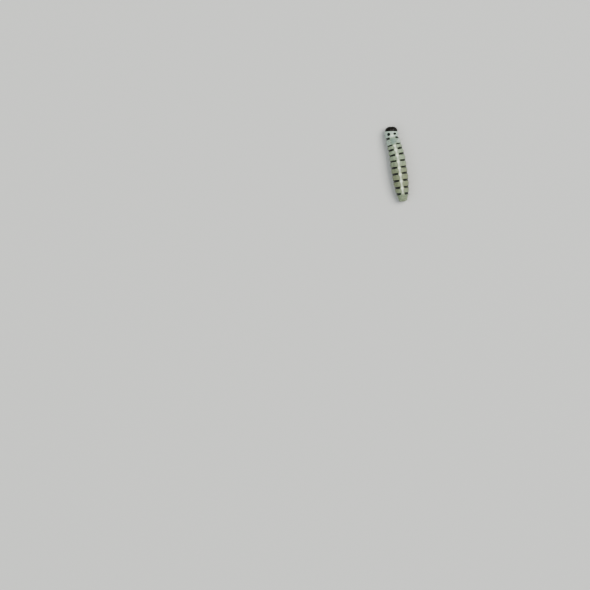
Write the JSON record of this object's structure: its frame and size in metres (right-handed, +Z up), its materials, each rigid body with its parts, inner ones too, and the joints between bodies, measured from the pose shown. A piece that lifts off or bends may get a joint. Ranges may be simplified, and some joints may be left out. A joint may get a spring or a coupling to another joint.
{
  "type": "monarch butterfly larva",
  "caption": "Newly hatched monarch larva with a glossy black head, dark rings on a pale ridged body, jointed front legs and fleshy prolegs.",
  "frame": {"origin": "on the ground the larva stands on, below the middle of its box", "axes": "+Z up, head towards -Y, the larva's left towards +X"},
  "size_m": [0.0012, 0.004, 0.0009],
  "materials": {
    "flesh": "satin",
    "pale_flesh": "satin",
    "head_shell": "gloss",
    "leg_shell": "gloss",
    "plate": "satin",
    "tail_plate": "satin",
    "mouthparts": "satin",
    "eye_lens": "gloss"
  },
  "bodies": {
    "root": {"abdomen_1": "flesh", "abdomen_10": "flesh", "abdomen_2": "flesh", "abdomen_3": "flesh", "abdomen_4": "flesh", "abdomen_5": "flesh", "abdomen_6": "flesh", "abdomen_7": "flesh", "abdomen_8": "flesh", "abdomen_9": "flesh", "anal_proleg_left": "flesh", "anal_proleg_right": "flesh", "antenna_left": "mouthparts", "antenna_right": "mouthparts", "collar_plate_left": "plate", "collar_plate_right": "plate", "eyes_left": "eye_lens", "eyes_right": "eye_lens", "face_plate": "head_shell", "front_tentacle_left": "plate", "front_tentacle_right": "plate", "head": "head_shell", "labium": "mouthparts", "labrum": "mouthparts", "leg_1_left": "leg_shell", "leg_1_right": "leg_shell", "leg_2_left": "leg_shell", "leg_2_right": "leg_shell", "leg_3_left": "leg_shell", "leg_3_right": "leg_shell", "mandible_left": "head_shell", "mandible_right": "head_shell", "mesothorax": "flesh", "metathorax": "flesh", "palp_left": "mouthparts", "palp_right": "mouthparts", "proleg_3_left": "flesh", "proleg_3_right": "flesh", "proleg_4_left": "flesh", "proleg_4_right": "flesh", "proleg_5_left": "flesh", "proleg_5_right": "flesh", "proleg_6_left": "flesh", "proleg_6_right": "flesh", "prothorax": "pale_flesh", "rear_tentacle_left": "plate", "rear_tentacle_right": "plate", "tail_plate": "tail_plate"}
  },
  "joints": []
}
